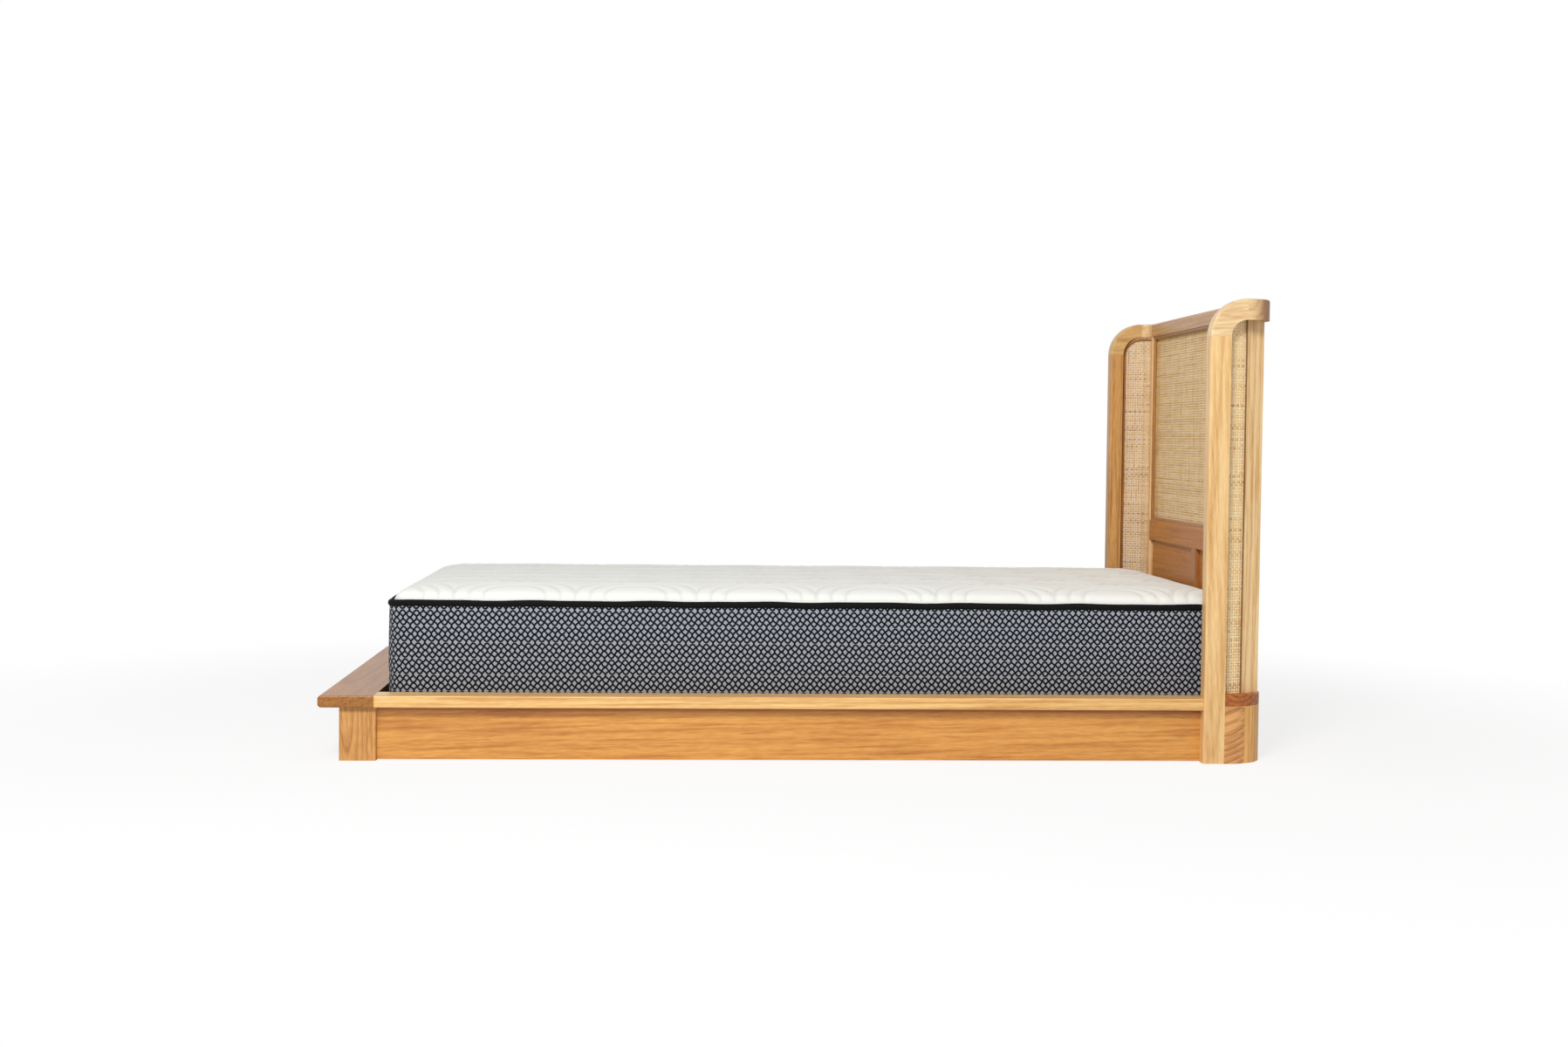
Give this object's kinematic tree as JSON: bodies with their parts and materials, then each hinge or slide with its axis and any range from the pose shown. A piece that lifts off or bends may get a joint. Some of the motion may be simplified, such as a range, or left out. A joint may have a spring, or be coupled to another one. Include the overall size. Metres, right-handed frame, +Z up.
{
  "type": "single bed",
  "caption": "Low single platform bed: winged headboard of slanted cane panels in a rounded timber frame, wide foot ledge, slatted base and a loose quilted mattress.",
  "frame": {"origin": "on the floor, under the middle of the bed's outer box", "axes": "+X from the foot to the headboard, +Z up, -Y to the left side of a person lying on their back"},
  "size_m": [2.062, 1.078, 1.016],
  "materials": {
    "honey_timber": "satin clear finish on honey-coloured timber",
    "side_panel_timber": "satin clear finish",
    "base_timber": "satin clear finish",
    "pine": "planed, unfinished",
    "woven_cane": "natural woven cane",
    "quilted_knit": "quilted white knit",
    "border_cloth": "grey-blue woven pattern",
    "edge_tape": "black woven tape",
    "base_cloth": "plain non-woven cloth",
    "zinc_steel": "zinc-plated",
    "black_plastic": "moulded"
  },
  "bodies": {
    "bed_frame": {"back_bead": "honey_timber", "back_cane": "woven_cane", "base_back_block_left": "base_timber", "base_back_block_right": "base_timber", "base_front_block_left": "base_timber", "base_front_block_right": "base_timber", "base_top_left": "base_timber", "base_top_right": "base_timber", "beam_rest_foot": "pine", "beam_rest_head": "pine", "bed_bolts": "zinc_steel", "bottom_rail": "pine", "cap_corner_left": "honey_timber", "cap_corner_right": "honey_timber", "centre_beam": "pine", "centre_feet": "pine", "corner_post_left": "honey_timber", "corner_post_right": "honey_timber", "foot_glides": "black_plastic", "foot_ledge": "honey_timber", "foot_leg_left": "honey_timber", "foot_leg_right": "honey_timber", "foot_panel": "side_panel_timber", "frame_dowels": "pine", "low_rail": "honey_timber", "lower_panel_left": "honey_timber", "lower_panel_right": "honey_timber", "muntin": "honey_timber", "plinth": "pine", "rail_block_left": "pine", "rail_block_right": "pine", "rail_bracket_left": "zinc_steel", "rail_bracket_right": "zinc_steel", "side_cap_left": "honey_timber", "side_cap_right": "honey_timber", "side_cleat_left": "pine", "side_cleat_right": "pine", "side_panel_left": "side_panel_timber", "side_panel_right": "side_panel_timber", "slats": "pine", "top_rail": "honey_timber", "wing_arch_left": "honey_timber", "wing_arch_right": "honey_timber", "wing_bead_left": "honey_timber", "wing_bead_right": "honey_timber", "wing_cane_left": "woven_cane", "wing_cane_right": "woven_cane", "wing_post_left": "honey_timber", "wing_post_right": "honey_timber"},
    "mattress": {"mattress_bottom": "base_cloth", "mattress_bottom_tape": "edge_tape", "mattress_core": "border_cloth", "mattress_top": "quilted_knit", "mattress_top_tape": "edge_tape"}
  },
  "joints": [
    {"name": "mattress_lift", "type": "slide", "parent": "bed_frame", "child": "mattress", "axis": [0, 0, 1], "range_m": [0, 0.95]}
  ]
}
